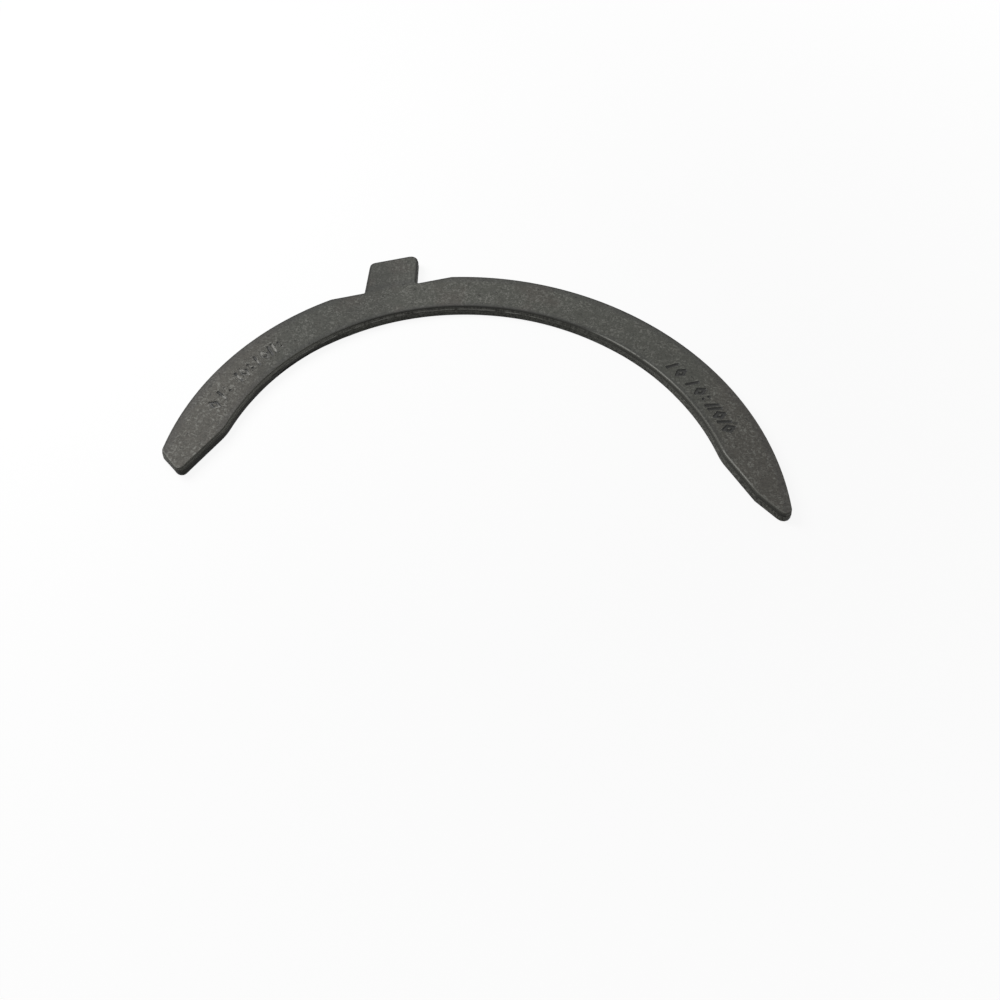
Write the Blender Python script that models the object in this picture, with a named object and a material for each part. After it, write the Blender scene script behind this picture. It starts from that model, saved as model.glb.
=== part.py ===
"""Half thrust washer with a locating tab, as fitted beside the main bearing of a heavy engine.

The washer is one flat steel stamping: half a ring, with a tab standing off its outer edge.
The ring is laid out round the shaft's axis. X runs along the parting line, between the two ends,
Y runs from the parting line to the crown, and Z stands up from the lower face.
"""

import math

import bmesh
import bpy
from mathutils import Vector

MM = 0.001

# Half ring
BORE_RADIUS = 62.75 * MM
RING_WIDTH = 12.25 * MM
THICKNESS = 2.8 * MM

# Locating tab, left of the crown, with a flat cut across the ring's edge on both sides of it
TAB_ANGLE = math.radians(21.3)
TAB_SHIFT = 0.4 * MM
TAB_WIDTH = 13.7 * MM
TAB_HEIGHT = 12.4 * MM
TAB_DRAFT = math.radians(3.0)
TAB_CORNER_RADIUS = 1.9 * MM
TAB_ROOT_RADIUS = 0.6 * MM
FLAT_DEPTH = 2.0 * MM

# Ends: both are cut off along one slanting direction, and relieved on the bore's side
END_CUT_ANGLE = math.radians(45.0)
LEFT_TIP_INSET = 5.6 * MM
LEFT_TIP_RADIUS = 1.3 * MM
LEFT_CORNER_RADIUS = 1.8 * MM
LEFT_RELIEF_HEIGHT = 13.5 * MM
RIGHT_TIP_RADIUS = 1.6 * MM
RIGHT_CUT_INSET = 7.5 * MM
RIGHT_RELIEF_HEIGHT = 16.8 * MM
RELIEF_RADIUS = 15.0 * MM

# Edge left by the press: rolled at the top, sheared below that, then torn and a little wider
ROLL_RADIUS = 0.3 * MM
SHEAR_HEIGHT = 0.75 * MM
LEDGE_WIDTH = 0.18 * MM
LEDGE_DROP = 0.12 * MM
TEAR_FLARE = 0.1 * MM
LOWER_RADIUS = 0.3 * MM

# Fineness of the curves, and the largest angle between facets that is shaded smooth
ARC_STEP = 2.0 * MM
CORNER_STEPS = 5
EDGE_STEPS = 3
SMOOTH_UP_TO = math.radians(35.0)

OUTER_RADIUS = BORE_RADIUS + RING_WIDTH
SHAFT_AXIS = Vector((0.0, 0.0))


def clear_scene():
    for item in list(bpy.data.objects):
        bpy.data.objects.remove(item, do_unlink=True)


def polar(angle, length=1.0):
    """Point or direction at an angle from +X."""
    return Vector((math.cos(angle), math.sin(angle))) * length


def angle_of(vector):
    return math.atan2(vector.y, vector.x)


def arc(centre, radius, start, end, steps):
    """Points of an arc between two angles, both ends included."""
    return [centre + polar(start + (end - start) * i / steps, radius) for i in range(steps + 1)]


def ring_arc(radius, start, end):
    """Arc round the shaft's axis, divided by its own length."""
    steps = max(2, math.ceil(abs(end - start) * radius / ARC_STEP))
    return arc(SHAFT_AXIS, radius, start, end, steps)


def rounded(before, corner, after, radius):
    """Arc that touches both straight sides of a corner."""
    to_before = (before - corner).normalized()
    to_after = (after - corner).normalized()
    half_angle = to_before.angle(to_after) / 2
    reach = radius / math.tan(half_angle)
    centre = corner + (to_before + to_after).normalized() * (radius / math.sin(half_angle))
    start = angle_of(corner + to_before * reach - centre)
    end = angle_of(corner + to_after * reach - centre)
    turn = (end - start + math.pi) % (2 * math.pi) - math.pi
    return arc(centre, radius, start, start + turn, CORNER_STEPS)


def tangent_angle(point, centre, radius, side):
    """Angle, about the centre, at which a line from the point touches the circle."""
    away = point - centre
    return angle_of(away) + side * math.acos(radius / away.length)


def corner_under_rim(cut_normal, cut_distance, radius):
    """Centre of the arc that joins the ring's outer edge to the slanting cut of the left end."""
    along = Vector((cut_normal.y, -cut_normal.x))
    reach = math.sqrt((OUTER_RADIUS - radius) ** 2 - (cut_distance - radius) ** 2)
    return cut_normal * (cut_distance - radius) + along * reach


def on_bore(height, side):
    """Point of the bore at a height above the parting line."""
    return Vector((side * math.sqrt(BORE_RADIUS ** 2 - height ** 2), height))


def relief_corner(top, foot):
    """Arc that eases the bore into the straight side of a relief, from the bore to that side."""
    down = (foot - top).normalized()
    inward = Vector((down.y, -down.x))
    if inward.dot(top) < 0:
        inward.negate()
    distance = inward.dot(top) + RELIEF_RADIUS
    reach = math.sqrt((BORE_RADIUS + RELIEF_RADIUS) ** 2 - distance ** 2)
    centre = inward * distance + down * reach
    start = angle_of(-centre)
    turn = (angle_of(-inward) - start + math.pi) % (2 * math.pi) - math.pi
    return arc(centre, RELIEF_RADIUS, start, start + turn, CORNER_STEPS)


def tab_outline():
    """Right flat, tab and left flat, from the right end of the flat to its left end."""
    normal = polar(math.pi / 2 + TAB_ANGLE)
    along = Vector((-normal.y, normal.x))
    flat_distance = OUTER_RADIUS - FLAT_DEPTH
    half_flat = math.sqrt(OUTER_RADIUS ** 2 - flat_distance ** 2)
    flat_right = normal * flat_distance - along * half_flat
    flat_left = normal * flat_distance + along * half_flat
    middle = normal * flat_distance + along * TAB_SHIFT
    slope = along / along.x

    root_left = middle - slope * (TAB_WIDTH / 2)
    root_right = middle + slope * (TAB_WIDTH / 2)
    top_left = root_left + Vector((0.0, TAB_HEIGHT))
    narrowing = TAB_HEIGHT * math.tan(TAB_DRAFT)
    top_right = top_left + slope * (TAB_WIDTH - narrowing)

    points = [flat_right]
    points += rounded(flat_right, root_right, top_right, TAB_ROOT_RADIUS)
    points += rounded(root_right, top_right, top_left, TAB_CORNER_RADIUS)
    points += rounded(top_right, top_left, root_left, TAB_CORNER_RADIUS)
    points += rounded(top_left, root_left, flat_left, TAB_ROOT_RADIUS)
    points.append(flat_left)
    return points


def left_end():
    """Rounded outer corner, slanting cut, tip on the parting line, and relief."""
    cut_normal = polar(math.pi + END_CUT_ANGLE)
    tip = Vector((LEFT_TIP_INSET - OUTER_RADIUS, LEFT_TIP_RADIUS))
    cut_distance = cut_normal.dot(tip) + LEFT_TIP_RADIUS
    corner = corner_under_rim(cut_normal, cut_distance, LEFT_CORNER_RADIUS)
    relief_top = on_bore(LEFT_RELIEF_HEIGHT, -1)

    cut_angle = math.pi + END_CUT_ANGLE
    points = arc(corner, LEFT_CORNER_RADIUS, angle_of(corner) % (2 * math.pi), cut_angle, CORNER_STEPS)
    leave = tangent_angle(relief_top, tip, LEFT_TIP_RADIUS, -1) % (2 * math.pi)
    if leave < cut_angle:
        leave += 2 * math.pi
    points += arc(tip, LEFT_TIP_RADIUS, cut_angle, leave, CORNER_STEPS)
    points += reversed(relief_corner(relief_top, points[-1]))
    return points


def right_end():
    """Relief, slanting cut on the bore's side, and a tip that runs into the outer edge."""
    cut_angle = math.pi + END_CUT_ANGLE
    reach = OUTER_RADIUS - RIGHT_TIP_RADIUS
    tip = Vector((math.sqrt(reach ** 2 - RIGHT_TIP_RADIUS ** 2), RIGHT_TIP_RADIUS))
    touch = tip + polar(cut_angle, RIGHT_TIP_RADIUS)
    cut_start_x = OUTER_RADIUS - RIGHT_CUT_INSET
    cut_start = Vector((cut_start_x, touch.y + (touch.x - cut_start_x) / math.tan(END_CUT_ANGLE)))
    points = relief_corner(on_bore(RIGHT_RELIEF_HEIGHT, 1), cut_start)
    points.append(cut_start)
    points += arc(tip, RIGHT_TIP_RADIUS, cut_angle, 2 * math.pi + angle_of(tip), CORNER_STEPS)
    return points


def washer_outline():
    """Closed outline of the sheared edge, anticlockwise seen from above."""
    right = right_end()
    tab = tab_outline()
    left = left_end()
    outline = right
    outline += ring_arc(OUTER_RADIUS, angle_of(right[-1]), angle_of(tab[0]))[1:-1]
    outline += tab
    outline += ring_arc(OUTER_RADIUS, angle_of(tab[-1]), angle_of(left[0]) % (2 * math.pi))[1:-1]
    outline += left
    outline += ring_arc(BORE_RADIUS, angle_of(left[-1]), angle_of(right[0]))[1:-1]
    return outline


def edge_section():
    """Height and outward offset of each line that runs round the washer's edge, bottom to top."""
    ledge_top = THICKNESS - ROLL_RADIUS - SHEAR_HEIGHT
    torn = LEDGE_WIDTH + TEAR_FLARE
    turns = [math.pi / 2 * step / EDGE_STEPS for step in range(EDGE_STEPS + 1)]
    section = []
    for turn in turns:
        height = LOWER_RADIUS * (1 - math.cos(turn))
        section.append((height, torn - LOWER_RADIUS * (1 - math.sin(turn))))
    section.append((ledge_top - LEDGE_DROP, LEDGE_WIDTH))
    section.append((ledge_top, 0.0))
    for turn in turns:
        height = THICKNESS - ROLL_RADIUS * (1 - math.sin(turn))
        section.append((height, -ROLL_RADIUS * (1 - math.cos(turn))))
    return section


def offset_outline(outline, distance):
    """The outline moved outwards, with each corner kept sharp."""
    moved = []
    for i, point in enumerate(outline):
        incoming = (point - outline[i - 1]).normalized()
        outgoing = (outline[(i + 1) % len(outline)] - point).normalized()
        first = Vector((incoming.y, -incoming.x))
        second = Vector((outgoing.y, -outgoing.x))
        moved.append(point + (first + second) * (distance / (1 + first.dot(second))))
    return moved


def phosphated_steel():
    """Dark, dull grey coat on steel."""
    material = bpy.data.materials.new("phosphated_steel")
    material.use_nodes = True
    shader = material.node_tree.nodes["Principled BSDF"]
    shader.inputs["Base Color"].default_value = (0.085, 0.085, 0.075, 1.0)
    shader.inputs["Roughness"].default_value = 0.5
    shader.inputs["Metallic"].default_value = 0.6
    return material


def footprint_centre(outline):
    """Middle of the rectangle that just holds the washer on the table."""
    widest = max(offset for height, offset in edge_section())
    spread = offset_outline(outline, widest)
    xs = [point.x for point in spread]
    ys = [point.y for point in spread]
    return Vector(((min(xs) + max(xs)) / 2, (min(ys) + max(ys)) / 2))


def build_washer():
    """Loft the edge's section round the outline, and close it with the two flat faces."""
    outline = washer_outline()
    centre = footprint_centre(outline)
    mesh = bmesh.new()
    loops = []
    for height, offset in edge_section():
        ring = [point - centre for point in offset_outline(outline, offset)]
        loops.append([mesh.verts.new((point.x, point.y, height)) for point in ring])
    for lower, upper in zip(loops, loops[1:]):
        for i in range(len(outline)):
            j = (i + 1) % len(outline)
            mesh.faces.new((lower[i], lower[j], upper[j], upper[i]))
    mesh.faces.new(reversed(loops[0]))
    mesh.faces.new(loops[-1])

    data = bpy.data.meshes.new("thrust_washer")
    mesh.to_mesh(data)
    mesh.free()
    data.shade_smooth()
    data.set_sharp_from_angle(angle=SMOOTH_UP_TO)
    data.materials.append(phosphated_steel())
    washer = bpy.data.objects.new("thrust_washer", data)
    bpy.context.collection.objects.link(washer)
    return washer


def main():
    clear_scene()
    build_washer()


main()
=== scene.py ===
# %% [markdown]
# # A half thrust washer
# This half ring of flat steel fits beside a main bearing of a heavy engine, where it takes the
# push of the crankshaft along its axis. The solid already has its true size and outline. This
# lesson gives it the marks of its making: the torn edge, the stamped marks and the dark coat.

# %% Load the washer's solid
import math

import bpy
from mathutils import Matrix, Vector


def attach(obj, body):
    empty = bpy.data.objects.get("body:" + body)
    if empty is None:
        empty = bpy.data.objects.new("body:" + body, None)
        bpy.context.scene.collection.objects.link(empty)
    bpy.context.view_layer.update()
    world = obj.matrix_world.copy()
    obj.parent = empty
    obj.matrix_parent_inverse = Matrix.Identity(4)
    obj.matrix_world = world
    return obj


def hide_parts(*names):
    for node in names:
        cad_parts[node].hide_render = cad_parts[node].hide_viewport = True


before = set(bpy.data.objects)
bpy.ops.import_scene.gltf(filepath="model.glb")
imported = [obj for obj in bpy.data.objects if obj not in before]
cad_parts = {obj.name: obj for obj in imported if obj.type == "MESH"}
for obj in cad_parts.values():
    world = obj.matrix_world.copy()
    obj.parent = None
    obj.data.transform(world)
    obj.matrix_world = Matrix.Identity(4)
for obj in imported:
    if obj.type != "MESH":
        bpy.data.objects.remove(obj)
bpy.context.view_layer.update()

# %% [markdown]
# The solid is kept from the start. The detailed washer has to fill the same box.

MM = 0.001
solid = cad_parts["thrust_washer"]

# %% [markdown]
# In the photograph the camera stands a little right of the washer's middle and looks down on it
# at more than 50 degrees. A lens of 35 mm on a full frame gives the same perspective. The small
# shift does what a cropped picture does: it keeps the washer left of the centre of the view.

# %% Camera
CAMERA_PLACE = Vector((4.11, -177.90, 184.26)) * MM
CAMERA_TURN = math.radians(4.208)
CAMERA_BELOW_HORIZON = math.radians(53.582)
CAMERA_ROLL = math.radians(0.965)
CAMERA_LENS = 34.9
SENSOR_WIDTH = 36.0
CAMERA_SHIFT = 0.0554
CAMERA_NEAR = 10 * MM

bpy.ops.object.camera_add()
camera = bpy.context.object
camera.name = "camera"
camera.data.sensor_width = SENSOR_WIDTH
camera.data.lens = CAMERA_LENS
camera.data.shift_x = CAMERA_SHIFT
camera.data.clip_start = CAMERA_NEAR
aim = Matrix.Rotation(CAMERA_TURN, 4, "Z")
aim @= Matrix.Rotation(math.pi / 2 - CAMERA_BELOW_HORIZON, 4, "X")
aim @= Matrix.Rotation(CAMERA_ROLL, 4, "Z")
camera.matrix_world = Matrix.Translation(CAMERA_PLACE) @ aim
bpy.context.scene.camera = camera
print("camera at", [round(v / MM) for v in CAMERA_PLACE], "mm")

# %% [markdown]
# The photograph has a white ground. A pale floor under soft lamps comes close to it, and the rest
# of the white comes from the floor's own colour for what looks at it straight or in a reflection.
# Round the washer the floor still takes part of its light from the lamps, so the shadow stays on
# it. Farther away that part fades out, and the floor runs into the white without an edge.

# %% Floor
FLOOR_SIZE = 6.0
FLOOR_GAP = 0.02 * MM
FLOOR_COLOUR = (0.90, 0.90, 0.90, 1.0)
FLOOR_SHADOW = 0.10
SHADOW_FADE = (80 * MM, 300 * MM)


def seen_directly(tree):
    """One where the camera, a reflection or a see-through surface looks, else zero."""
    path = tree.nodes.new("ShaderNodeLightPath")
    camera_or_glossy = tree.nodes.new("ShaderNodeMath")
    camera_or_glossy.operation = "MAXIMUM"
    tree.links.new(path.outputs["Is Camera Ray"], camera_or_glossy.inputs[0])
    tree.links.new(path.outputs["Is Glossy Ray"], camera_or_glossy.inputs[1])
    any_look = tree.nodes.new("ShaderNodeMath")
    any_look.operation = "MAXIMUM"
    tree.links.new(camera_or_glossy.outputs[0], any_look.inputs[0])
    tree.links.new(path.outputs["Is Transmission Ray"], any_look.inputs[1])
    return any_look.outputs[0]


bpy.ops.object.select_all(action="DESELECT")
bpy.ops.mesh.primitive_plane_add(size=FLOOR_SIZE, location=(0, 0, -FLOOR_GAP))
floor = bpy.context.object
floor.name = "floor"
paper = bpy.data.materials.new("white_paper")
paper.use_nodes = True
tree = paper.node_tree
shader = tree.nodes["Principled BSDF"]
shader.inputs["Base Color"].default_value = FLOOR_COLOUR
shader.inputs["Roughness"].default_value = 1.0
shader.inputs["Specular IOR Level"].default_value = 0.0
glow = tree.nodes.new("ShaderNodeEmission")
distance = tree.nodes.new("ShaderNodeVectorMath")
distance.operation = "LENGTH"
tree.links.new(tree.nodes.new("ShaderNodeTexCoord").outputs["Object"], distance.inputs[0])
glow_share = tree.nodes.new("ShaderNodeMapRange")
glow_share.inputs["From Min"].default_value = SHADOW_FADE[0]
glow_share.inputs["From Max"].default_value = SHADOW_FADE[1]
glow_share.inputs["To Min"].default_value = 1 - FLOOR_SHADOW
tree.links.new(distance.outputs["Value"], glow_share.inputs["Value"])
share = tree.nodes.new("ShaderNodeMath")
share.operation = "MULTIPLY"
tree.links.new(seen_directly(tree), share.inputs[0])
tree.links.new(glow_share.outputs["Result"], share.inputs[1])
blend = tree.nodes.new("ShaderNodeMixShader")
tree.links.new(share.outputs[0], blend.inputs["Fac"])
tree.links.new(shader.outputs[0], blend.inputs[1])
tree.links.new(glow.outputs[0], blend.inputs[2])
tree.links.new(blend.outputs[0], tree.nodes["Material Output"].inputs["Surface"])
floor.data.materials.append(paper)
print("floor", FLOOR_SIZE, "m wide")

# %% [markdown]
# In the photograph the left end is lighter than the right one, and the bore's wall is lit on the
# right leg only. So the main lamp is a soft box close by on the left, a larger one hangs high
# overhead, and an even sky fills the shadows.

# %% Lamps and sky
SKY_LEVEL = 0.15
LAMPS = {
    "soft_box_left": {"place": (-0.26, 0.11, 0.24), "size": 0.20, "watts": 1.3},
    "soft_box_above": {"place": (0.30, 1.00, 2.60), "size": 1.80, "watts": 12.5},
}

for name, lamp in LAMPS.items():
    place = Vector(lamp["place"])
    bpy.ops.object.light_add(type="AREA", location=place)
    light = bpy.context.object
    light.name = name
    light.rotation_euler = (-place).to_track_quat("-Z", "Y").to_euler()
    light.data.size = lamp["size"]
    light.data.energy = lamp["watts"]

world = bpy.data.worlds.new("studio")
bpy.context.scene.world = world
world.use_nodes = True
tree = world.node_tree
background = tree.nodes["Background"]
background.inputs["Color"].default_value = (1.0, 1.0, 1.0, 1.0)
level = tree.nodes.new("ShaderNodeMapRange")
level.inputs["To Min"].default_value = SKY_LEVEL
level.inputs["To Max"].default_value = 1.0
tree.links.new(seen_directly(tree), level.inputs["Value"])
tree.links.new(level.outputs["Result"], background.inputs["Strength"])
bpy.context.scene.view_settings.view_transform = "Standard"
print("lamps:", ", ".join(LAMPS))

# %% [markdown]
# The washer keeps the solid's outline. Its mesh is a copy of the solid's: loose triangles, which
# are first joined at their corners and then merged where they lie in one plane. That brings back
# the two flat faces and the clean strips that run round the edge.

# %% Copy of the solid
JOIN_DISTANCE = 0.002 * MM
PLANE_ANGLE = math.radians(0.2)

washer = bpy.data.objects.new("washer", solid.data.copy())
bpy.context.collection.objects.link(washer)
bpy.ops.object.select_all(action="DESELECT")
washer.select_set(True)
bpy.context.view_layer.objects.active = washer
bpy.ops.mesh.customdata_custom_splitnormals_clear()
bpy.ops.object.mode_set(mode="EDIT")
bpy.ops.mesh.select_all(action="SELECT")
bpy.ops.mesh.remove_doubles(threshold=JOIN_DISTANCE)
bpy.ops.mesh.dissolve_limited(angle_limit=PLANE_ANGLE)
bpy.ops.object.mode_set(mode="OBJECT")
print("washer:", len(washer.data.vertices), "corners,", len(washer.data.polygons), "faces")

# %% [markdown]
# Edit mode works on what is selected. By hand one would click the edges. Here a test on the heights
# of an edge's two corners picks them, since every band of the washer's edge lies between two known
# heights.

# %% Select by height
HEIGHT_SLACK = 0.01 * MM


def at_height(height, corner):
    return abs(corner.co.z - height) < HEIGHT_SLACK


def open_piece(piece, mode):
    """Opens this piece alone for editing, with nothing selected in it."""
    bpy.ops.object.select_all(action="DESELECT")
    piece.select_set(True)
    bpy.context.view_layer.objects.active = piece
    bpy.ops.object.mode_set(mode="EDIT")
    bpy.ops.mesh.select_mode(type=mode)
    bpy.ops.mesh.select_all(action="DESELECT")


def select_edges(piece, wanted):
    """Selects the edges whose two corners pass the test."""
    bpy.ops.object.mode_set(mode="OBJECT")
    corners = piece.data.vertices
    for edge in piece.data.edges:
        edge.select = wanted(corners[edge.vertices[0]], corners[edge.vertices[1]])
    bpy.ops.object.mode_set(mode="EDIT")


# %% [markdown]
# The press leaves four bands on the edge: a rolled lip, a smooth sheared band, a ledge, and a torn
# band below it. Steel doesn't tear evenly, so the bands first get more faces, to be pushed about by
# noise. The faces run in columns round the washer. A ring select takes a whole column from one edge
# of it, so wide columns are divided into more parts than narrow ones. The two large flat faces
# would be cut up with them, so they are taken off and put back afterwards.

# %% More faces on the edge
LIP_FOOT = 2.50 * MM
LEDGE_TOP = 1.75 * MM
LEDGE_FOOT = 1.63 * MM
TORN_FOOT = 0.30 * MM
COLUMN_WIDTH = 0.4 * MM
WIDEST_COLUMN = 32
TORN_ROWS = 6
SHEARED_ROWS = 2
# The normal of a level face points at least this much up or down.
LEVEL = 0.999
STRIP_CORNERS = 4


def divide_rows(piece, low, high, rows):
    """Divides the band between two heights into rows."""
    open_piece(piece, "EDGE")
    select_edges(piece, lambda a, b: at_height(low, a) and at_height(high, b)
                 or at_height(low, b) and at_height(high, a))
    bpy.ops.mesh.subdivide(number_cuts=rows - 1)
    bpy.ops.object.mode_set(mode="OBJECT")


def divide_columns(piece, parts):
    """Divides the columns that are wide enough for this many parts."""
    open_piece(piece, "EDGE")
    select_edges(piece, lambda a, b: at_height(LIP_FOOT, a) and at_height(LIP_FOOT, b)
                 and (a.co - b.co).length >= parts * COLUMN_WIDTH)
    bpy.ops.mesh.loop_multi_select(ring=True)
    bpy.ops.mesh.subdivide(number_cuts=parts - 1)
    bpy.ops.object.mode_set(mode="OBJECT")


open_piece(washer, "FACE")
bpy.ops.object.mode_set(mode="OBJECT")
for face in washer.data.polygons:
    face.select = abs(face.normal.z) > LEVEL and len(face.vertices) > STRIP_CORNERS
bpy.ops.object.mode_set(mode="EDIT")
bpy.ops.mesh.delete(type="ONLY_FACE")
bpy.ops.object.mode_set(mode="OBJECT")

divide_rows(washer, TORN_FOOT, LEDGE_FOOT, TORN_ROWS)
divide_rows(washer, LEDGE_TOP, LIP_FOOT, SHEARED_ROWS)
for parts in range(WIDEST_COLUMN, 1, -1):
    divide_columns(washer, parts)
print("edge:", len(washer.data.vertices), "corners,", len(washer.data.polygons), "faces")

# %% [markdown]
# A displace modifier pushes corners about: by a cloudy noise for what is rough, or by a fixed
# distance. A vertex group says how much each corner takes part, so a push fades out smoothly where
# its weights fall to zero.

# %% Weights and pushes
NOISE_DEPTH = 2


def ramp(low, high, value):
    """Zero below low, one above high, straight between them."""
    return min(1.0, max(0.0, (value - low) / (high - low)))


def weigh(piece, name, weight_at):
    """A vertex group whose weights follow the place of each corner."""
    group = piece.vertex_groups.new(name=name)
    for corner in piece.data.vertices:
        group.add([corner.index], weight_at(corner.co), "REPLACE")


def push_by_noise(piece, group, direction, size, depth):
    """Pushes the group's corners to and fro by a cloudy noise of this grain size."""
    clouds = bpy.data.textures.new(group, "CLOUDS")
    clouds.noise_scale = size
    clouds.noise_depth = NOISE_DEPTH
    modifier = piece.modifiers.new(group, "DISPLACE")
    modifier.texture = clouds
    modifier.texture_coords = "LOCAL"
    modifier.vertex_group = group
    modifier.direction = direction
    modifier.strength = depth
    bpy.ops.object.modifier_apply(modifier=modifier.name)


def push_straight(piece, group, direction, distance):
    """Pushes the group's corners by a fixed distance, without a texture."""
    modifier = piece.modifiers.new(group, "DISPLACE")
    modifier.vertex_group = group
    modifier.direction = direction
    modifier.mid_level = 0.0
    modifier.strength = distance
    bpy.ops.object.modifier_apply(modifier=modifier.name)


# %% [markdown]
# Displacements roughen the edge. The first lets the ledge wander up and down along the washer,
# because the tear starts higher in one place than in another, and the second lifts it left of the
# crown. The next ones make the torn band of the bore fuller round the crown and thinner on two
# stretches of the legs, and the last one makes the band coarse. Vertex groups hold them all back
# at the lip and at the foot of the edge.

# %% Uneven tear
LEDGE_WANDER = 0.50 * MM
LEDGE_WAVE = 6.0 * MM
TEAR_DEPTH = 0.11 * MM
TEAR_GRAIN = 0.55 * MM
TEAR_LOW = 0.5 * MM
TEAR_HIGH = 1.5 * MM
SHAFT_AXIS = Vector((-0.101, -40.931)) * MM
BORE_SIDE = 64.0 * MM
FULLER = 0.30 * MM
THINNER = -0.32 * MM
LEDGE_RAISED = 0.22 * MM
# Stretches along the parting line, in mm: where each starts, is full, is last full, and ends.
RAISED_STRETCH = (-42, -32, 4, 16)
FULLER_STRETCH = (-44, -36, -6, 14)
THINNER_LEFT = (-56, -51, -45, -41)
THINNER_RIGHT = (33, 38, 45, 50)


def ledge_weight(co):
    return min(ramp(TORN_FOOT, LEDGE_FOOT, co.z), ramp(LIP_FOOT, LEDGE_TOP, co.z))


def tear_weight(co):
    return min(ramp(TORN_FOOT, TEAR_LOW, co.z), ramp(LEDGE_TOP, TEAR_HIGH, co.z))


def flare_weight(co):
    """One on the torn band of the bore and zero on the rest of the edge."""
    on_bore = (co.xy - SHAFT_AXIS).length < BORE_SIDE
    return on_bore * ramp(0.0, TORN_FOOT, co.z) * ramp(LEDGE_FOOT, TEAR_LOW, co.z)


def along(co, start, full, last, end):
    """Rises from start to full and falls from last to end."""
    return ramp(start, full, co.x / MM) * ramp(end, last, co.x / MM)


def left_of_the_crown(co):
    return ledge_weight(co) * along(co, *RAISED_STRETCH)


def round_the_crown(co):
    return flare_weight(co) * along(co, *FULLER_STRETCH)


def on_the_legs(co):
    return flare_weight(co) * max(along(co, *THINNER_LEFT), along(co, *THINNER_RIGHT))


weigh(washer, "ledge", ledge_weight)
push_by_noise(washer, "ledge", "Z", LEDGE_WAVE, LEDGE_WANDER)
weigh(washer, "raised", left_of_the_crown)
push_straight(washer, "raised", "Z", LEDGE_RAISED)
weigh(washer, "fuller", round_the_crown)
push_straight(washer, "fuller", "NORMAL", FULLER)
weigh(washer, "thinner", on_the_legs)
push_straight(washer, "thinner", "NORMAL", THINNER)
weigh(washer, "tear", tear_weight)
push_by_noise(washer, "tear", "NORMAL", TEAR_GRAIN, TEAR_DEPTH)
print("torn edge between", TORN_FOOT / MM, "and about", LEDGE_TOP / MM, "mm")

# %% [markdown]
# The blunt cut across the left end was sheared from the other side, so it leans: its upper edge
# stands out with a thin burr and its lower edge draws back. Plain displacements without a texture
# do that. They push straight along X and Y, so nothing leaves the faces' level.

# %% Leaning cut
CUT_OUTWARD = Vector((-1.0, -1.0)).normalized()
CUT_DISTANCE = 49.4 * MM
CUT_DEPTH = 1.0 * MM
CUT_FULL = 0.4 * MM
CUT_ALONG = Vector((-1.0, 1.0)).normalized()
CUT_LAST = 57.5 * MM
CUT_FADE = 52.0 * MM
CUT_MIDDLE = 1.5 * MM
CUT_LEAN = 0.20 * MM
THICKNESS = 2.80 * MM


def cut_weight(co):
    """One on the blunt cut, and less on the corners beside it."""
    place = co.xy - SHAFT_AXIS
    inside = CUT_DISTANCE - CUT_OUTWARD.dot(place)
    return ramp(CUT_DEPTH, CUT_FULL, inside) * ramp(CUT_LAST, CUT_FADE, CUT_ALONG.dot(place))


def push_flat(piece, group, push):
    """Pushes the group's corners by a fixed amount along X and Y."""
    push_straight(piece, group, "X", push.x)
    push_straight(piece, group, "Y", push.y)


weigh(washer, "burr", lambda co: cut_weight(co) * ramp(CUT_MIDDLE, THICKNESS, co.z))
push_flat(washer, "burr", CUT_OUTWARD * CUT_LEAN)
weigh(washer, "foot", lambda co: cut_weight(co) * ramp(CUT_MIDDLE, 0.0, co.z))
push_flat(washer, "foot", -CUT_OUTWARD * CUT_LEAN)
washer.vertex_groups.clear()
print("the left cut leans by", CUT_LEAN / MM, "mm each way")

# %% [markdown]
# The two flat faces go back on. The upper one gets a narrow border, so that the smooth shading of
# the rolled lip ends there and the rest of the face stays perfectly flat. The border later carries
# the painted shade and the painted highlight of the lip a little way onto the face.

# %% Flat faces
FACE_BORDER = 0.45 * MM


def close_at(piece, height):
    """Fills the outline at this height with one flat face, which stays selected."""
    open_piece(piece, "EDGE")
    select_edges(piece, lambda a, b: at_height(height, a) and at_height(height, b))
    bpy.ops.mesh.edge_face_add()


close_at(washer, 0.0)
bpy.ops.object.mode_set(mode="OBJECT")
close_at(washer, THICKNESS)
bpy.ops.mesh.inset(thickness=FACE_BORDER, depth=0.0)
bpy.ops.mesh.select_all(action="SELECT")
bpy.ops.mesh.normals_make_consistent(inside=False)
bpy.ops.object.mode_set(mode="OBJECT")
print("closed:", len(washer.data.polygons), "faces")

# %% [markdown]
# Two rows of marks are struck into the upper face, one on each leg: plain strokes, dots and
# diamonds, as hand punches leave them. A stroke needs two shapes. One is the punch. The other is
# a low swelling round it, because the struck metal has to go somewhere. Both are rounded bars that
# get wider or narrower in steps. The right leg was struck harder than the left one.

# %% Strokes
# Each step is a height above the face and half the bar's width there, in mm.
PUNCH_STEPS = {
    "right": ((-0.26, 0.24), (-0.15, 0.37), (-0.04, 0.45), (0.02, 0.49), (0.07, 0.56)),
    "left": ((-0.20, 0.16), (-0.12, 0.26), (-0.03, 0.34), (0.02, 0.40), (0.07, 0.50)),
}
SWELLING_STEPS = dict.fromkeys(
    PUNCH_STEPS, ((-0.06, 0.95), (0.005, 0.92), (0.022, 0.76), (0.03, 0.60)))
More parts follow.
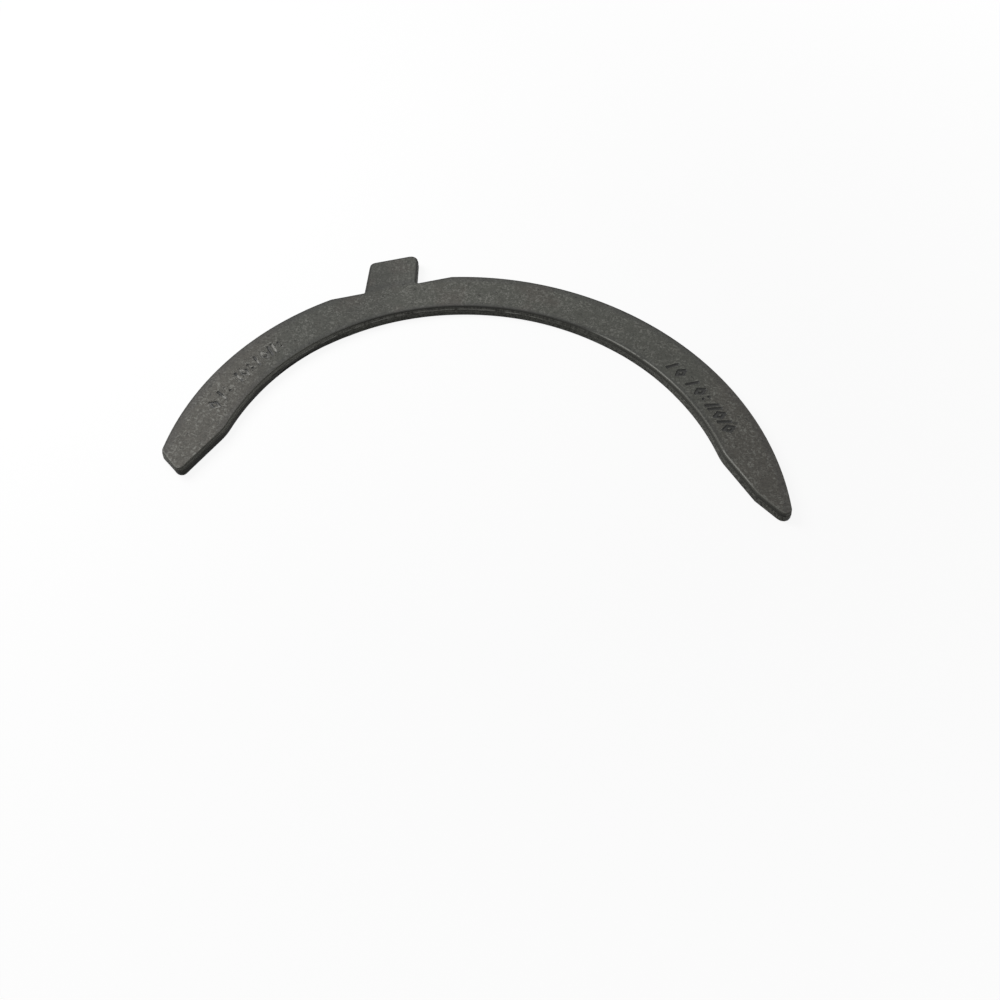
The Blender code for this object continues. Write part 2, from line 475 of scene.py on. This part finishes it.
# A mark is a list of strokes, each from one point to another, in mm from the mark's middle.
TALL = 1.45
STROKE = [((-0.45, -TALL), (0.45, TALL))]
TWO_STROKES = [((-1.1, -TALL), (-0.2, TALL)), ((0.2, -TALL), (1.1, TALL))]
TWO_DOTS = [((0.0, 0.85), (0.0, 0.85)), ((0.0, -0.85), (0.0, -0.85))]
DIAMOND = [((0.0, -TALL), (0.85, 0.0)), ((0.85, 0.0), (0.0, TALL)),
           ((0.0, TALL), (-0.85, 0.0)), ((-0.85, 0.0), (0.0, -TALL))]
# A row gives each mark's place as its angle in degrees round the shaft.
RIGHT_LEG = [(42.4, STROKE), (39.8, DIAMOND), (36.0, STROKE), (33.3, DIAMOND), (31.1, TWO_DOTS),
             (28.3, TWO_STROKES), (25.8, DIAMOND), (23.8, STROKE), (21.8, DIAMOND)]
LEFT_LEG = [(162.5, DIAMOND), (159.6, STROKE), (157.6, TWO_DOTS), (153.6, STROKE),
            (151.8, DIAMOND), (149.8, TWO_DOTS), (147.7, STROKE), (145.4, DIAMOND),
            (143.2, TWO_STROKES), (140.9, TWO_DOTS)]
ROWS = {"right": (RIGHT_LEG, 67.2 * MM), "left": (LEFT_LEG, 68.6 * MM)}
print("marks:", len(RIGHT_LEG), "on the right leg and", len(LEFT_LEG), "on the left leg")

# %% [markdown]
# A bar starts as a filled circle. Its two halves are pulled apart to the length of the stroke, and
# the outline is then extruded upward step by step. A matrix seats the bar on its leg, with the top
# of the mark away from the shaft.

# %% Bars
BAR_SIDES = 16


def rounded_bar(start, end, steps, seat):
    """A bar from start to end in the mark's own plane, wider or narrower at each step up."""
    run = (end - start) / 2
    reach = run.length / MM
    height, radius = steps[0]
    bpy.ops.mesh.primitive_circle_add(vertices=BAR_SIDES, radius=radius * MM, fill_type="NGON")
    bar = bpy.context.object
    for corner in bar.data.vertices:
        if abs(corner.co.x) > HEIGHT_SLACK:
            corner.co.x += math.copysign(run.length, corner.co.x)
    bpy.ops.object.mode_set(mode="EDIT")
    bpy.ops.mesh.select_all(action="SELECT")
    for next_height, next_radius in steps[1:]:
        rise = (0.0, 0.0, (next_height - height) * MM)
        bpy.ops.mesh.extrude_region_move(TRANSFORM_OT_translate={"value": rise})
        longer = (reach + next_radius) / (reach + radius)
        bpy.ops.transform.resize(value=(longer, next_radius / radius, 1.0))
        height, radius = next_height, next_radius
    bpy.ops.mesh.select_all(action="SELECT")
    bpy.ops.mesh.normals_make_consistent(inside=False)
    bpy.ops.object.mode_set(mode="OBJECT")
    turn = Matrix.Rotation(math.atan2(run.y, run.x), 4, "Z")
    middle = Vector((*(start + end) / 2, steps[0][0] * MM))
    bar.data.transform(seat @ Matrix.Translation(middle) @ turn)
    return bar


def seat_on_leg(angle, radius):
    """Turns a mark's plane so that its top points away from the shaft."""
    around = math.radians(angle)
    place = SHAFT_AXIS + Vector((math.cos(around), math.sin(around))) * radius
    return Matrix.Translation((*place, THICKNESS)) @ Matrix.Rotation(around - math.pi / 2, 4, "Z")


def all_strokes(steps):
    """One object with a bar for every stroke of both rows, by the steps of each leg."""
    bars = []
    for leg, (marks, radius) in ROWS.items():
        for angle, mark in marks:
            seat = seat_on_leg(angle, radius)
            for start, end in mark:
                bars.append(rounded_bar(Vector(start) * MM, Vector(end) * MM, steps[leg], seat))
    bpy.ops.object.select_all(action="DESELECT")
    for bar in bars:
        bar.select_set(True)
    bpy.context.view_layer.objects.active = bars[0]
    bpy.ops.object.join()
    print(len(bars), "bars")
    return bpy.context.object


# %% [markdown]
# Each boolean cuts or joins all the bars of both rows at once. Where a bar's wall only just grazes
# the face, it leaves slivers without any area, so the corners that lie together are merged.

# %% Strike the marks
SLIVER = 0.0004 * MM


def combine_shapes(piece, other, operation):
    """Adds the other shape to the piece, or takes it away."""
    bpy.ops.object.select_all(action="DESELECT")
    piece.select_set(True)
    bpy.context.view_layer.objects.active = piece
    modifier = piece.modifiers.new(operation, "BOOLEAN")
    modifier.operation = operation
    modifier.object = other
    modifier.use_self = True
    bpy.ops.object.modifier_apply(modifier=modifier.name)
    bpy.data.objects.remove(other, do_unlink=True)


def clear_slivers(piece):
    """Merges the corners that lie together and drops the faces without area."""
    open_piece(piece, "VERT")
    bpy.ops.mesh.select_all(action="SELECT")
    bpy.ops.mesh.remove_doubles(threshold=SLIVER)
    bpy.ops.mesh.dissolve_degenerate(threshold=SLIVER)
    bpy.ops.object.mode_set(mode="OBJECT")


combine_shapes(washer, all_strokes(SWELLING_STEPS), "UNION")
clear_slivers(washer)
combine_shapes(washer, all_strokes(PUNCH_STEPS), "DIFFERENCE")
clear_slivers(washer)
print("struck:", len(washer.data.vertices), "corners,", len(washer.data.polygons), "faces")

# %% [markdown]
# Three finishes meet on this one piece: the phosphate coat of the flat faces, the torn edge under
# the same coat, and the struck marks. They share two effects, each a node group, and a few small
# functions build their nodes. A mask is a value from zero to one that says how much of an effect
# shows at a place.

# %% Helpers for the nodes
def between(tree, value, low, high):
    """Zero below low and one above high, with soft ends; the other way round if low is higher."""
    node = tree.nodes.new("ShaderNodeMapRange")
    node.interpolation_type = "SMOOTHSTEP"
    node.inputs["From Min"].default_value = low
    node.inputs["From Max"].default_value = high
    tree.links.new(value, node.inputs["Value"])
    return node.outputs["Result"]


def between_mm(tree, value, limits):
    """The same with its two limits in millimetres."""
    low, high = limits
    return between(tree, value, low * MM, high * MM)


def noise(tree, vector, scale, detail, limits, distortion=0.0):
    """A cloudy noise, brought to a mask that rises between its two limits."""
    node = tree.nodes.new("ShaderNodeTexNoise")
    node.inputs["Scale"].default_value = scale
    node.inputs["Detail"].default_value = detail
    node.inputs["Distortion"].default_value = distortion
    tree.links.new(vector, node.inputs["Vector"])
    return between(tree, node.outputs["Fac"], *limits)


def combine(tree, operation, first, second):
    """A Math node; second is another socket or a number."""
    node = tree.nodes.new("ShaderNodeMath")
    node.operation = operation
    tree.links.new(first, node.inputs[0])
    if isinstance(second, (int, float)):
        node.inputs[1].default_value = second
    else:
        tree.links.new(second, node.inputs[1])
    return node.outputs[0]


def product(tree, *masks):
    """All these masks multiplied."""
    result = masks[0]
    for mask in masks[1:]:
        result = combine(tree, "MULTIPLY", result, mask)
    return result


# %% [markdown]
# Most masks go by place: along the parting line, up the edge, or away from the shaft's axis. The
# last one puts the washer's ring on a straight scale, which the plain X and Y can't do.

# %% Places on the washer
def axes_of(tree, vector):
    node = tree.nodes.new("ShaderNodeSeparateXYZ")
    tree.links.new(vector, node.inputs["Vector"])
    return node.outputs


def ring_radius(tree, place):
    """Distance from the shaft's axis."""
    flat = tree.nodes.new("ShaderNodeVectorMath")
    flat.operation = "MULTIPLY_ADD"
    flat.inputs[1].default_value = (1.0, 1.0, 0.0)
    flat.inputs[2].default_value = (-SHAFT_AXIS.x, -SHAFT_AXIS.y, 0.0)
    tree.links.new(place, flat.inputs[0])
    length = tree.nodes.new("ShaderNodeVectorMath")
    length.operation = "LENGTH"
    tree.links.new(flat.outputs["Vector"], length.inputs[0])
    return length.outputs["Value"]


# %% [markdown]
# An effect that several finishes share is a node group. It reads the washer's own coordinates,
# which turn and move with it, and puts out its masks by name.

# %% Node groups
def new_group(name, *outputs):
    """A node group with these outputs, and the washer's own coordinates inside it."""
    group = bpy.data.node_groups.new(name, "ShaderNodeTree")
    for output in outputs:
        group.interface.new_socket(name=output, in_out="OUTPUT", socket_type="NodeSocketFloat")
    place = group.nodes.new("ShaderNodeTexCoord").outputs["Object"]
    return group, place, group.nodes.new("NodeGroupOutput")


def put_out(group, out, **values):
    """Links each value to the group's output of that name."""
    for name, value in values.items():
        group.links.new(value, out.inputs[name])
    print("group:", group.name, "with", ", ".join(values))


# %% [markdown]
# The mottle is made of noises of different grain: broad patches, clusters of light flecks, dark
# pits and a fine grain. They read the washer's own coordinates in metres, so a noise scale of 1000
# gives cells of about a millimetre. Near the rims the crystals are fewer, which goes by the
# distance from the shaft's axis.

# %% Mottle of the crystals
PATCHES = {"scale": 110.0, "detail": 3.0, "limits": (0.50, 0.68)}
CLUSTERS = {"scale": 260.0, "detail": 3.0, "limits": (0.25, 0.60)}
FLECKS = {"scale": 1500.0, "detail": 3.0, "distortion": 1.0, "limits": (0.46, 0.68)}
PITS = {"scale": 1100.0, "detail": 2.0, "distortion": 0.6, "limits": (0.38, 0.28)}
GRAIN = {"scale": 2300.0, "detail": 4.0, "distortion": 0.4, "limits": (0.30, 0.70)}
OUTER_RIM = (72.2, 73.8)
BORE_RIM = (64.8, 63.4)
ONTO_TAB = (76.5, 74.5)
RIM_ON_TAB = 0.4
FEWER_AT_RIMS = (2.0, 0.0)

mottle, place, out = new_group("crystal_mottle", "Patches", "Flecks", "Pits", "Grain", "Rims")
radius = ring_radius(mottle, place)
less_on_tab = combine(mottle, "MAXIMUM", between_mm(mottle, radius, ONTO_TAB), RIM_ON_TAB)
outer_rim = product(mottle, between_mm(mottle, radius, OUTER_RIM), less_on_tab)
rims = combine(mottle, "MAXIMUM", outer_rim, between_mm(mottle, radius, BORE_RIM))
flecks = product(mottle, noise(mottle, place, **FLECKS), noise(mottle, place, **CLUSTERS),
                 between(mottle, rims, *FEWER_AT_RIMS))
put_out(mottle, out,
        Patches=noise(mottle, place, **PATCHES),
        Flecks=flecks,
        Pits=noise(mottle, place, **PITS),
        Grain=noise(mottle, place, **GRAIN),
        Rims=rims)

# %% [markdown]
# Painted light and shade go by place too. The masks rise along the parting line, away from it, or
# with the distance from the shaft. Inside is all but the outer rim. One mask is painted shade on
# the rolled lip of the far side, which faces away from the camera, and of the bore. One is painted
# shade on the stretch left of the crown, and one a painted highlight on the lip of the right leg
# and of the blunt left cut.

# %% Places and painted light
OUTSIDE = (73.2, 73.6)
INSIDE = OUTSIDE[::-1]
ONTO_RIGHT_LEG = (22, 38)
OFF_RIGHT_LEG = ONTO_RIGHT_LEG[::-1]
ONTO_LEFT_LEG = (-30, -50)
OFF_LEFT_LEG = ONTO_LEFT_LEG[::-1]
LEFT_END = (-50, -60)
RIGHT_END = (54, 64)
FAR_SIDE = (-10, 20)
# How much painted shade the rolled lip gets on the left leg's outer rim and bore.
LEFT_RIM_SHADE = 0.6
LEFT_LIP_SHADE = 0.05
# Painted shade on the upper face left of the crown, fading in and out between these places.
SHOULDER_SHADE_FROM = (-22, -32)
SHOULDER_SHADE_TO = (-68, -50)
# Painted highlight where the lip catches the left lamp: along the right leg's bore, its relief and
# the blunt left cut.
HIGHLIGHT_BREAKS = {"scale": 300.0, "detail": 3.0, "limits": (0.30, 0.42)}
HIGHLIGHT_LEG = (26, 36)
BRIGHTEST_HIGHLIGHT = (56, 47)
HIGHLIGHT_LOW_DOWN = 0.30
RELIEF_HIGHLIGHT_FROM = (59.5, 60.5)
RELIEF_HIGHLIGHT_TO = (68, 65)
CUT_BORDER = (CUT_DISTANCE / MM - 1.0, CUT_DISTANCE / MM - 0.6)
CUT_HIGHLIGHT = 0.35


def distance_to_cut(tree, place):
    """Distance from the shaft's axis, square to the blunt cut of the left end."""
    node = tree.nodes.new("ShaderNodeVectorMath")
    node.operation = "DOT_PRODUCT"
    tree.links.new(place, node.inputs[0])
    node.inputs[1].default_value = (*CUT_OUTWARD, 0.0)
    return combine(tree, "SUBTRACT", node.outputs["Value"], CUT_OUTWARD.dot(SHAFT_AXIS))


zones, place, out = new_group(
    "places_and_painted_light", "Inside", "Left", "Right", "Ends", "Oil", "Dark", "Worn")
x, y, _ = axes_of(zones, place)
radius = ring_radius(zones, place)
inside = between_mm(zones, radius, INSIDE)
left_leg = between_mm(zones, x, ONTO_LEFT_LEG)
ends = combine(zones, "MAXIMUM", between_mm(zones, x, LEFT_END), between_mm(zones, x, RIGHT_END))

# Painted shade on the rim of the far side, which faces away from the camera, and on the bore's lip.
far_side = combine(zones, "MAXIMUM", between_mm(zones, y, FAR_SIDE),
                   combine(zones, "MULTIPLY", left_leg, LEFT_RIM_SHADE))
far_rim_shade = product(zones, between_mm(zones, radius, OUTSIDE), far_side)
less_on_left = combine(zones, "MAXIMUM", between_mm(zones, x, OFF_LEFT_LEG), LEFT_LIP_SHADE)
bore_lip_shade = product(zones, inside, between_mm(zones, x, OFF_RIGHT_LEG), less_on_left)

# Painted highlight on the lip, broken up by noise, strongest low on the right leg and on the relief.
highlight_breaks = noise(zones, place, **HIGHLIGHT_BREAKS)
less_low_down = combine(zones, "MAXIMUM", between_mm(zones, x, BRIGHTEST_HIGHLIGHT), HIGHLIGHT_LOW_DOWN)
highlight_on_relief = product(zones, between_mm(zones, x, RELIEF_HIGHLIGHT_FROM),
                      between_mm(zones, x, RELIEF_HIGHLIGHT_TO))
strongest_highlight = combine(zones, "MAXIMUM", less_low_down, highlight_on_relief)
highlight_on_leg = product(zones, inside, between_mm(zones, x, HIGHLIGHT_LEG), strongest_highlight, highlight_breaks)
highlight_on_cut = between_mm(zones, distance_to_cut(zones, place), CUT_BORDER)
highlight_on_cut = combine(zones, "MULTIPLY", highlight_on_cut, CUT_HIGHLIGHT)

put_out(zones, out, Inside=inside, Ends=ends,
        Left=product(zones, inside, left_leg),
        Right=product(zones, inside, between_mm(zones, x, ONTO_RIGHT_LEG)),
        Oil=product(zones, between_mm(zones, x, SHOULDER_SHADE_FROM), between_mm(zones, x, SHOULDER_SHADE_TO)),
        Dark=combine(zones, "MAXIMUM", far_rim_shade, bore_lip_shade),
        Worn=combine(zones, "MAXIMUM", highlight_on_leg, highlight_on_cut))

# %% [markdown]
# The coat of the flat faces is a dark grey with a trace of green. Crystals of phosphate make light
# flecks, fewer near the rims. Faint brown patches of oil lie on it, most of all at the ends, and the
# stretch left of the crown gets painted shade. The attribute named lip is one where the upper face
# meets its rolled lip and zero a little way in, so the painted shade and the painted highlight of
# the lip fade out there. The mottle drives the colour, the roughness and a very shallow bump.

# %% Colours of the coat
COAT_COLOUR = (0.0790, 0.0806, 0.0695, 1.0)
COAT_BROWN = (0.0815, 0.0765, 0.0665, 1.0)
FLECK_COLOUR = (0.1560, 0.1555, 0.1400, 1.0)
PIT_COLOUR = (0.0340, 0.0340, 0.0300, 1.0)
RIM_TINT = (0.88, 0.88, 0.91, 1.0)
# Painted shade that darkens the stretch left of the crown.
SHOULDER_SHADE_TINT = (0.74, 0.74, 0.74, 1.0)
# Painted shade of the rolled lip.
LIP_SHADE_COLOUR = (0.0160, 0.0160, 0.0144, 1.0)
# Colour of the painted highlight on the lip.
LIP_HIGHLIGHT_COLOUR = (0.2200, 0.2200, 0.2025, 1.0)
GRAIN_SHARE = 0.60
FLECK_SHARE = 0.85
HIGHLIGHT_BORDER = (0.45, 0.78)
COAT_ROUGHNESS = 0.72
FLECK_ROUGHNESS = 0.60
BUMP_STRENGTH = 0.35
BUMP_DEPTH = 0.03 * MM
# The sockets of a Mix node that take and give colours.
FIRST_COLOUR, SECOND_COLOUR, MIXED_COLOUR = 6, 7, 2


def mix_colour(tree, factor, first, second, blend="MIX"):
    """Mixes two colours; each is a socket or a plain colour."""
    node = tree.nodes.new("ShaderNodeMix")
    node.data_type = "RGBA"
    node.blend_type = blend
    tree.links.new(factor, node.inputs["Factor"])
    for colour, number in ((first, FIRST_COLOUR), (second, SECOND_COLOUR)):
        if isinstance(colour, tuple):
            node.inputs[number].default_value = colour
        else:
            tree.links.new(colour, node.inputs[number])
    return node.outputs[MIXED_COLOUR]


def new_finish(name, metallic, specular, roughness):
    """A material with these plain values, and the outputs of both node groups in it."""
    finish = bpy.data.materials.new(name)
    finish.use_nodes = True
    tree = finish.node_tree
    shader = tree.nodes["Principled BSDF"]
    shader.inputs["Metallic"].default_value = metallic
    shader.inputs["Specular IOR Level"].default_value = specular
    shader.inputs["Roughness"].default_value = roughness
    effects = {}
    for group in (mottle, zones):
        node = tree.nodes.new("ShaderNodeGroup")
        node.node_tree = group
        effects.update(node.outputs.items())
    return finish, tree, shader, effects


# %% [markdown]
# The colours are laid over each other like coats of paint: each Mix node takes the colour so far
# and covers it where a mask says so. The broad patches come first and the fine crystals next, and
# the painted shade and the painted highlight of the lip come last, since they lie on top of all the
# rest.

# %% Nodes of the coat
coat, tree, shader, effect = new_finish("phosphate_coat", metallic=0.15, specular=0.3, roughness=0.7)
grain_share = combine(tree, "MULTIPLY", effect["Grain"], GRAIN_SHARE)
fleck_share = combine(tree, "MULTIPLY", effect["Flecks"], FLECK_SHARE)
brown = combine(tree, "MAXIMUM", effect["Patches"], effect["Ends"])
base = mix_colour(tree, brown, COAT_COLOUR, COAT_BROWN)
base = mix_colour(tree, grain_share, base, PIT_COLOUR)
base = mix_colour(tree, fleck_share, base, FLECK_COLOUR)
base = mix_colour(tree, effect["Pits"], base, PIT_COLOUR)
base = mix_colour(tree, effect["Rims"], base, RIM_TINT, blend="MULTIPLY")
# Painted shade on the stretch left of the crown.
base = mix_colour(tree, effect["Oil"], base, SHOULDER_SHADE_TINT, blend="MULTIPLY")
lip = tree.nodes.new("ShaderNodeAttribute")
lip.attribute_name = "lip"
# Painted shade along the rolled lip, on the border of the upper face.
base = mix_colour(tree, product(tree, lip.outputs["Fac"], effect["Dark"]), base, LIP_SHADE_COLOUR)
# Painted highlight on the lip's border of the upper face.
highlight = product(tree, between(tree, lip.outputs["Fac"], *HIGHLIGHT_BORDER), effect["Worn"])
base = mix_colour(tree, highlight, base, LIP_HIGHLIGHT_COLOUR)
tree.links.new(base, shader.inputs["Base Color"])

roughness = tree.nodes.new("ShaderNodeMapRange")
roughness.inputs["To Min"].default_value = COAT_ROUGHNESS
roughness.inputs["To Max"].default_value = FLECK_ROUGHNESS
tree.links.new(effect["Flecks"], roughness.inputs["Value"])
tree.links.new(roughness.outputs["Result"], shader.inputs["Roughness"])
bump = tree.nodes.new("ShaderNodeBump")
bump.inputs["Strength"].default_value = BUMP_STRENGTH
bump.inputs["Distance"].default_value = BUMP_DEPTH
tree.links.new(combine(tree, "ADD", effect["Grain"], effect["Flecks"]), bump.inputs["Height"])
tree.links.new(bump.outputs["Normal"], shader.inputs["Normal"])
print("finish:", coat.name)

# %% [markdown]
# On the edge the bands differ in tone, and they go by the height above the lower face. The sheared
# band is smooth and dark with fine upright scores, and the torn band is speckled. On the bore the
# two bands are painted as lit and shaded copies, leg by leg. The left leg's bore faces away from
# the left lamp: its sheared band is painted lighter and its torn band painted near black. The right
# leg's faces the lamp: its sheared band is painted darker and its torn band lighter. The ledge
# between them gets a painted highlight round the crown, where it stands out. The foot is painted
# near black, a painted contact shadow with oil and dirt. A painted highlight runs along the lip of
# the bore of the right leg and of the blunt left cut.

# %% Colours and places on the edge
SHEARED_DARK = (0.040, 0.040, 0.035, 1.0)
SHEARED_GREY = (0.100, 0.100, 0.088, 1.0)
# Painted light on the left leg's sheared band and painted shade on the right leg's.
SHEARED_LEFT_LIT = (0.120, 0.120, 0.106, 1.0)
SHEARED_RIGHT_SHADED = (0.042, 0.042, 0.037, 1.0)
TORN_DARK = (0.026, 0.026, 0.023, 1.0)
TORN_GREY = (0.082, 0.082, 0.072, 1.0)
# Painted shade on the left leg's torn band and painted light on the right leg's.
TORN_LEFT_SHADED = (0.010, 0.010, 0.009, 1.0)
TORN_RIGHT_LIT = (0.116, 0.116, 0.102, 1.0)
ROLLED_GREY = (0.072, 0.072, 0.063, 1.0)
# Painted shade of the rolled lip on the far side and on the bore.
ROLLED_SHADE = (0.029, 0.029, 0.026, 1.0)
# Colour of the painted highlight on the ledge.
LEDGE_HIGHLIGHT = (0.240, 0.240, 0.222, 1.0)
# Painted contact shadow on the foot of the edge, with oil and dirt.
FOOT_SHADOW_COLOUR = (0.013, 0.013, 0.012, 1.0)
SCORES = {"scale": 2200.0, "detail": 2.0, "limits": (0.35, 0.65)}
SCORE_SQUASH = (1.0, 1.0, 0.08)
BROKEN = {"scale": 300.0, "detail": 3.0, "limits": (0.40, 0.52)}
CHIPS = {"scale": 1300.0, "detail": 2.0, "distortion": 0.5, "limits": (0.46, 0.36)}
LEDGE_SLOPE = (0.25, 0.50)
LEDGE_OUTSIDE = 0.35
SHEARED_LEFT_SHARE = 0.75
SHEARED_END_SHARE = 0.5
TORN_LEFT_SHARE = 0.85
# Heights above the lower face, in mm.
ABOVE_TEAR = (1.45, 1.75)
ON_ROLL = (2.46, 2.56)
BELOW_LEDGE = (1.1, 1.3)
ABOVE_LEDGE = (2.3, 2.1)
ON_FOOT = (0.45, 0.15)
ON_LIP = (2.72, 2.77)
# Places along the parting line, and distances from the shaft, in mm.
CROWN_FROM = (-62, -45)
CROWN_TO = (22, 8)
ON_RELIEF = (63.0, 63.6)

# %% [markdown]
# The sheared and the torn band are painted first, each by itself, and then stacked by height. The
# rolled lip with its painted shade, the painted highlight of the ledge, the painted contact shadow
# of the foot and the painted highlight of the lip are laid over them. The ledge wanders up and down,
# so its height alone doesn't find it, but it is the only part there that faces upward.

# %% Nodes of the edge
edge, tree, shader, effect = new_finish("torn_edge", metallic=0.15, specular=0.15, roughness=0.6)
place = tree.nodes.new("ShaderNodeTexCoord").outputs["Object"]
x, _, height = axes_of(tree, place)
slope = axes_of(tree, tree.nodes.new("ShaderNodeNewGeometry").outputs["Normal"])[2]
upright = tree.nodes.new("ShaderNodeMapping")
upright.inputs["Scale"].default_value = SCORE_SQUASH
tree.links.new(place, upright.inputs["Vector"])

sheared = mix_colour(tree, noise(tree, upright.outputs["Vector"], **SCORES),
                     SHEARED_DARK, SHEARED_GREY)
# Painted light on the sheared band of the left leg's bore, painted shade on the right leg's.
left_share = combine(tree, "MULTIPLY", effect["Left"], SHEARED_LEFT_SHARE)
sheared = mix_colour(tree, left_share, sheared, SHEARED_LEFT_LIT)
sheared = mix_colour(tree, effect["Right"], sheared, SHEARED_RIGHT_SHADED)
on_relief = between_mm(tree, ring_radius(tree, place), ON_RELIEF)
end_share = combine(tree, "MULTIPLY", effect["Ends"], SHEARED_END_SHARE)
end_share = product(tree, end_share, effect["Inside"], on_relief)
sheared = mix_colour(tree, end_share, sheared, SHEARED_DARK)

# Painted light on the torn band of the right leg's bore, painted shade on the left leg's.
torn = mix_colour(tree, effect["Right"], TORN_GREY, TORN_RIGHT_LIT)
torn = mix_colour(tree, effect["Grain"], TORN_DARK, torn)
torn = mix_colour(tree, noise(tree, place, **CHIPS), torn, TORN_DARK)
left_share = combine(tree, "MULTIPLY", effect["Left"], TORN_LEFT_SHARE)
torn = mix_colour(tree, left_share, torn, TORN_LEFT_SHADED)

base = mix_colour(tree, between_mm(tree, height, ABOVE_TEAR), torn, sheared)
# Painted shade on the rolled lip of the far side and of the bore.
rolled = mix_colour(tree, effect["Dark"], ROLLED_GREY, ROLLED_SHADE)
base = mix_colour(tree, between_mm(tree, height, ON_ROLL), base, rolled)
crown = product(tree, between_mm(tree, x, CROWN_TO), between_mm(tree, x, CROWN_FROM))
# Painted highlight on the upward-facing ledge round the crown, broken up by noise.
ledge = product(tree, between(tree, slope, *LEDGE_SLOPE),
                between_mm(tree, height, ABOVE_LEDGE), between_mm(tree, height, BELOW_LEDGE))
ledge = product(tree, ledge, crown, noise(tree, place, **BROKEN),
                combine(tree, "MAXIMUM", effect["Inside"], LEDGE_OUTSIDE))
base = mix_colour(tree, ledge, base, LEDGE_HIGHLIGHT)
# Painted contact shadow at the foot, where the edge meets the floor, with oil and dirt.
base = mix_colour(tree, between_mm(tree, height, ON_FOOT), base, FOOT_SHADOW_COLOUR)
# Painted highlight on the lip.
highlight = product(tree, between_mm(tree, height, ON_LIP), effect["Worn"])
base = mix_colour(tree, highlight, base, LIP_HIGHLIGHT_COLOUR)
tree.links.new(base, shader.inputs["Base Color"])
print("finish:", edge.name)

# %% [markdown]
# The struck marks are painted near black: painted shade in the dents, with the oil and dirt that
# stay there. The shallow marks of the left leg get painted glints in places, a lighter colour with a
# metallic share that also reflects the lamps.

# %% Struck marks
# Painted shade in the dents of the marks.
MARK_SHADE = (0.006, 0.006, 0.005, 1.0)
MARK_SHADE_GREY = (0.020, 0.020, 0.018, 1.0)
# Painted glints on the left leg's marks, lighter and partly metallic.
GLINT_COLOUR = (0.130, 0.128, 0.118, 1.0)
GLINTS = {"scale": 420.0, "detail": 2.0, "limits": (0.47, 0.58)}
GLINT_METALLIC = 0.5

mark, tree, shader, effect = new_finish("struck_mark", metallic=0.3, specular=0.4, roughness=0.55)
place = tree.nodes.new("ShaderNodeTexCoord").outputs["Object"]
# Painted glints in spots on the marks of the left leg.
glint_spots = product(tree, noise(tree, place, **GLINTS), effect["Left"])
base = mix_colour(tree, effect["Grain"], MARK_SHADE, MARK_SHADE_GREY)
base = mix_colour(tree, glint_spots, base, GLINT_COLOUR)
tree.links.new(base, shader.inputs["Base Color"])
tree.links.new(combine(tree, "MULTIPLY", glint_spots, GLINT_METALLIC), shader.inputs["Metallic"])
print("finish:", mark.name)

# %% [markdown]
# Each face of the mesh gets its finish by its place: the flat faces by their normal, the dents by
# lying below the upper face and well inside its outline, and the edge takes the rest. The attribute
# named lip is then written: one on the edge's corners above the foot of the lip, else zero.

# %% Assign the finishes
SMOOTH_UP_TO = math.radians(38.0)
MARK_BAND = (64.2 * MM, 73.0 * MM)
MARKS_ABOVE = -24 * MM
MARK_EDGE = THICKNESS - 0.004 * MM
MARK_FLOOR = THICKNESS - 0.30 * MM
COAT, EDGE, MARK = range(3)


def among_marks(face):
    """On a mark or on the swelling round it."""
    radius = (face.center.xy - SHAFT_AXIS).length
    in_band = MARK_BAND[0] < radius < MARK_BAND[1] and face.center.y > MARKS_ABOVE
    return in_band and face.center.z > MARK_FLOOR


bpy.ops.object.select_all(action="DESELECT")
washer.select_set(True)
bpy.context.view_layer.objects.active = washer
bpy.ops.object.shade_smooth_by_angle(angle=SMOOTH_UP_TO)
washer.data.materials.clear()
for finish in (coat, edge, mark):
    washer.data.materials.append(finish)
lip_corners = set()
for face in washer.data.polygons:
    if among_marks(face) and face.center.z < MARK_EDGE:
        face.material_index = MARK
    elif abs(face.normal.z) > LEVEL:
        face.material_index = COAT
        face.use_smooth = False
    elif among_marks(face):
        face.material_index = COAT
    else:
        face.material_index = EDGE
        lip_corners.update(face.vertices)
lip = washer.data.attributes.new("lip", "FLOAT", "POINT")
for corner in lip_corners:
    lip.data[corner].value = float(washer.data.vertices[corner].co.z > LIP_FOOT)
used = [face.material_index for face in washer.data.polygons]
print("faces of coat, edge and marks:", used.count(COAT), used.count(EDGE), used.count(MARK))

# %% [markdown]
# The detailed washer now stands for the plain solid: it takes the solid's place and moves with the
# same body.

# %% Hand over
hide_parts("thrust_washer")
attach(washer, "root")
